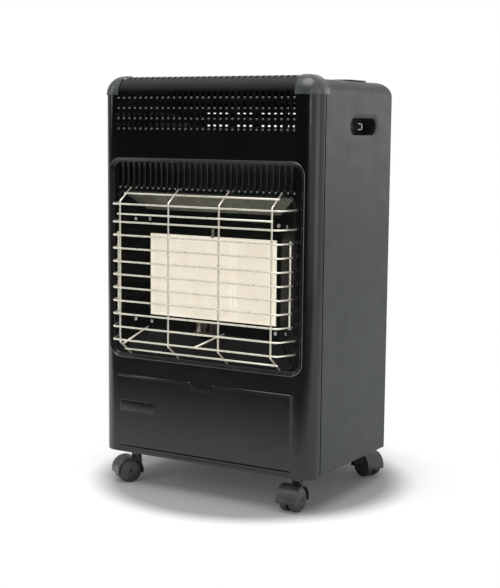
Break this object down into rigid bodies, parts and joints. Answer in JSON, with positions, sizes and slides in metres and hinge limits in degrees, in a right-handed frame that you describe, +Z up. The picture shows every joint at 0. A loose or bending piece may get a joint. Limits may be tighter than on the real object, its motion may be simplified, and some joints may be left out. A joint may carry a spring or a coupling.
{
  "type": "portable gas cabinet heater",
  "caption": "Upright gas cabinet heater: slotted fascia, radiant plaques behind a bowed wire guard, hand holes in the sides, pull-off rear cover, twin-wheel castors.",
  "frame": {"origin": "on the floor, under the middle of the bounding box", "axes": "+Z up, the front facing -Y, +X to the right of a person who faces the heater"},
  "size_m": [0.423, 0.3934, 0.7122],
  "materials": {
    "gloss": "gloss",
    "satin": "satin",
    "steel": "mill",
    "bare": "heat-tinted",
    "nickel": "bright nickel plate",
    "grey_plastic": "satin",
    "black_plastic": "satin",
    "wheel": "satin",
    "ceramic": "matt, porous",
    "brass": "machined"
  },
  "bodies": {
    "cabinet": {"fascia": "gloss", "burner_surround": "gloss", "burner_frame": "gloss", "cabinet_wrap": "satin", "base_tray": "satin", "rear_upper_panel": "satin", "heat_shield": "steel", "burner_body_left": "steel", "burner_body_centre": "steel", "burner_body_right": "steel", "gas_pipe": "steel", "reflector_top": "bare", "reflector_bottom": "bare", "reflector_left": "bare", "reflector_right": "bare", "pilot_bracket": "bare", "corner_cap_left": "grey_plastic", "corner_cap_right": "grey_plastic", "handle_cup_left": "black_plastic", "handle_cup_right": "black_plastic", "control_tray": "black_plastic", "igniter_body": "black_plastic", "ceramic_plaque_left": "ceramic", "ceramic_plaque_centre": "ceramic", "ceramic_plaque_right": "ceramic", "spark_electrode": "ceramic", "injector_rail": "brass", "pilot_burner": "brass", "thermocouple": "brass", "gas_valve": "brass", "hose_tail": "brass", "wire_guard": "nickel", "castor_stem_front_left": "steel", "castor_stem_front_right": "steel", "castor_stem_rear_left": "steel", "castor_stem_rear_right": "steel"},
    "rear_cover": {"rear_cover": "satin"},
    "valve_spindle": {"valve_spindle": "steel"},
    "control_knob": {"control_knob": "black_plastic"},
    "igniter_button": {"igniter_button": "grey_plastic"},
    "castor_front_left": {"castor_hood_front_left": "wheel", "castor_axle_front_left": "steel"},
    "wheel_front_left_inner": {"castor_wheel_front_left_inner": "wheel"},
    "wheel_front_left_outer": {"castor_wheel_front_left_outer": "wheel"},
    "castor_front_right": {"castor_hood_front_right": "wheel", "castor_axle_front_right": "steel"},
    "wheel_front_right_inner": {"castor_wheel_front_right_inner": "wheel"},
    "wheel_front_right_outer": {"castor_wheel_front_right_outer": "wheel"},
    "castor_rear_left": {"castor_hood_rear_left": "wheel", "castor_axle_rear_left": "steel"},
    "wheel_rear_left_inner": {"castor_wheel_rear_left_inner": "wheel"},
    "wheel_rear_left_outer": {"castor_wheel_rear_left_outer": "wheel"},
    "castor_rear_right": {"castor_hood_rear_right": "wheel", "castor_axle_rear_right": "steel"},
    "wheel_rear_right_inner": {"castor_wheel_rear_right_inner": "wheel"},
    "wheel_rear_right_outer": {"castor_wheel_rear_right_outer": "wheel"}
  },
  "joints": [
    {"name": "rear_cover_pull", "type": "slide", "parent": "cabinet", "child": "rear_cover", "axis": [0, 1, 0], "range_m": [0, 0.3]},
    {"name": "valve_push", "type": "slide", "parent": "cabinet", "child": "valve_spindle", "axis": [0, 0, -1], "range_m": [0, 0.004], "stiffness_N_per_m": 1200},
    {"name": "control_knob_turn", "type": "hinge", "parent": "valve_spindle", "child": "control_knob", "pos_m": [0.146, 0.0248, 0.69], "axis": [0, 0, 1], "range_deg": [0, 270]},
    {"name": "igniter_press", "type": "slide", "parent": "cabinet", "child": "igniter_button", "axis": [0, 0, -1], "range_m": [0, 0.006], "stiffness_N_per_m": 900},
    {"name": "castor_swivel_front_left", "type": "hinge", "parent": "cabinet", "child": "castor_front_left", "pos_m": [-0.164, -0.1237, 0.05], "axis": [0, 0, 1], "continuous": true},
    {"name": "wheel_spin_front_left_inner", "type": "hinge", "parent": "castor_front_left", "child": "wheel_front_left_inner", "pos_m": [-0.17375, -0.13763, 0.021], "axis": [-0.8192, 0.5736, 0], "continuous": true},
    {"name": "wheel_spin_front_left_outer", "type": "hinge", "parent": "castor_front_left", "child": "wheel_front_left_outer", "pos_m": [-0.17375, -0.13763, 0.021], "axis": [-0.8192, 0.5736, 0], "continuous": true},
    {"name": "castor_swivel_front_right", "type": "hinge", "parent": "cabinet", "child": "castor_front_right", "pos_m": [0.164, -0.1237, 0.05], "axis": [0, 0, 1], "continuous": true},
    {"name": "wheel_spin_front_right_inner", "type": "hinge", "parent": "castor_front_right", "child": "wheel_front_right_inner", "pos_m": [0.164, -0.1407, 0.021], "axis": [-1, 0, 0], "continuous": true},
    {"name": "wheel_spin_front_right_outer", "type": "hinge", "parent": "castor_front_right", "child": "wheel_front_right_outer", "pos_m": [0.164, -0.1407, 0.021], "axis": [-1, 0, 0], "continuous": true},
    {"name": "castor_swivel_rear_left", "type": "hinge", "parent": "cabinet", "child": "castor_rear_left", "pos_m": [-0.155, 0.1333, 0.05], "axis": [0, 0, 1], "continuous": true},
    {"name": "wheel_spin_rear_left_inner", "type": "hinge", "parent": "castor_rear_left", "child": "wheel_rear_left_inner", "pos_m": [-0.14782, 0.11789, 0.021], "axis": [-0.9063, -0.4226, 0], "continuous": true},
    {"name": "wheel_spin_rear_left_outer", "type": "hinge", "parent": "castor_rear_left", "child": "wheel_rear_left_outer", "pos_m": [-0.14782, 0.11789, 0.021], "axis": [-0.9063, -0.4226, 0], "continuous": true},
    {"name": "castor_swivel_rear_right", "type": "hinge", "parent": "cabinet", "child": "castor_rear_right", "pos_m": [0.155, 0.1333, 0.05], "axis": [0, 0, 1], "continuous": true},
    {"name": "wheel_spin_rear_right_inner", "type": "hinge", "parent": "castor_rear_right", "child": "wheel_rear_right_inner", "pos_m": [0.17076, 0.12693, 0.021], "axis": [-0.3746, -0.9272, 0], "continuous": true},
    {"name": "wheel_spin_rear_right_outer", "type": "hinge", "parent": "castor_rear_right", "child": "wheel_rear_right_outer", "pos_m": [0.17076, 0.12693, 0.021], "axis": [-0.3746, -0.9272, 0], "continuous": true}
  ]
}
